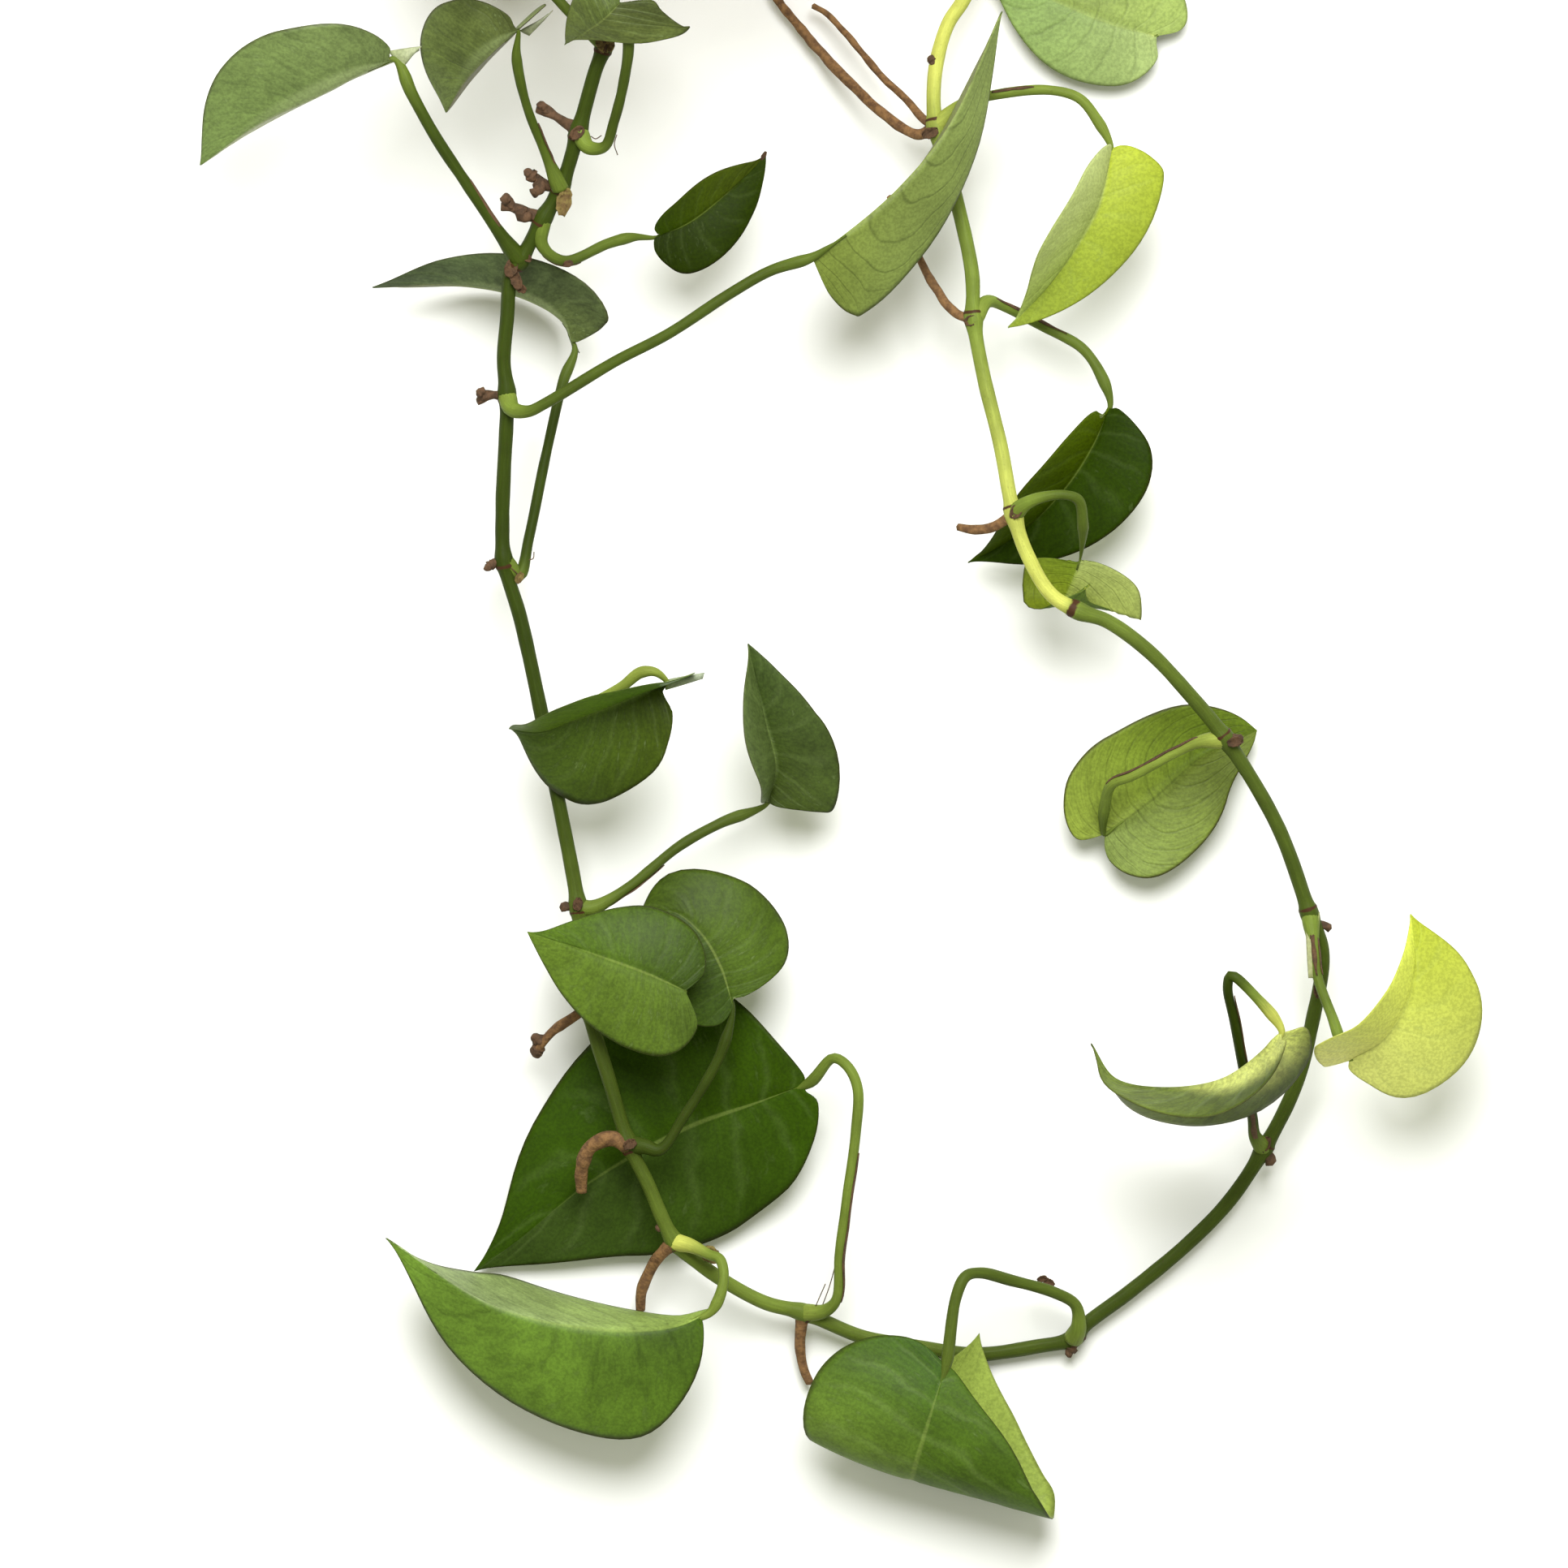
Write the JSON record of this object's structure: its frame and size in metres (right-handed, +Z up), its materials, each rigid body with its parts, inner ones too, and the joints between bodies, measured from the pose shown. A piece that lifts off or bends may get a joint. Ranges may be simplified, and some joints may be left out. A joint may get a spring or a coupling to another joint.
{
  "type": "potted pothos",
  "caption": "Potted trailing aroid: a terracotta pot of soil with short leafy shoots, and a long vine of heart-shaped leaves that goes over the rim and lies along the surface.",
  "frame": {"origin": "middle of the underside of the pot's base", "axes": "+Z up along the pot; the vine trails towards -Y"},
  "size_m": [0.3905, 0.6971, 0.2223],
  "materials": {
    "terracotta": "matt unglazed clay",
    "soil": "crumbly dry potting soil",
    "vine_stem": "smooth green stem, satin",
    "shoot": "smooth light green stem, satin",
    "leaf_dark": "waxy dark green leaf, satin",
    "leaf_mid": "waxy green leaf, satin",
    "leaf_lime": "young yellow-green leaf, satin"
  },
  "bodies": {
    "root": {"pot": "terracotta", "soil": "soil", "vine_stem": "vine_stem", "shoot_a": "shoot", "shoot_b": "shoot", "leaf_01": "leaf_dark", "leaf_02": "leaf_mid", "leaf_03": "leaf_mid", "leaf_04": "leaf_dark", "leaf_05": "leaf_dark", "leaf_06": "leaf_dark", "leaf_07": "leaf_mid", "leaf_08": "leaf_mid", "leaf_09": "leaf_dark", "leaf_10": "leaf_dark", "leaf_11": "leaf_dark", "leaf_12": "leaf_mid", "leaf_13": "leaf_mid", "leaf_14": "leaf_mid", "leaf_15": "leaf_dark", "leaf_16": "leaf_mid", "leaf_17": "leaf_mid", "leaf_18": "leaf_lime", "leaf_19": "leaf_lime", "leaf_20": "leaf_lime", "leaf_21": "leaf_dark", "leaf_22": "leaf_lime", "leaf_23": "leaf_lime", "leaf_24": "leaf_lime", "leaf_25": "leaf_lime", "shoot_a_leaf_1": "leaf_mid", "shoot_a_leaf_2": "leaf_mid", "shoot_a_leaf_3": "leaf_mid", "shoot_a_leaf_4": "leaf_mid", "shoot_b_leaf_1": "leaf_mid", "shoot_b_leaf_2": "leaf_mid", "shoot_b_leaf_3": "leaf_mid"}
  },
  "joints": []
}
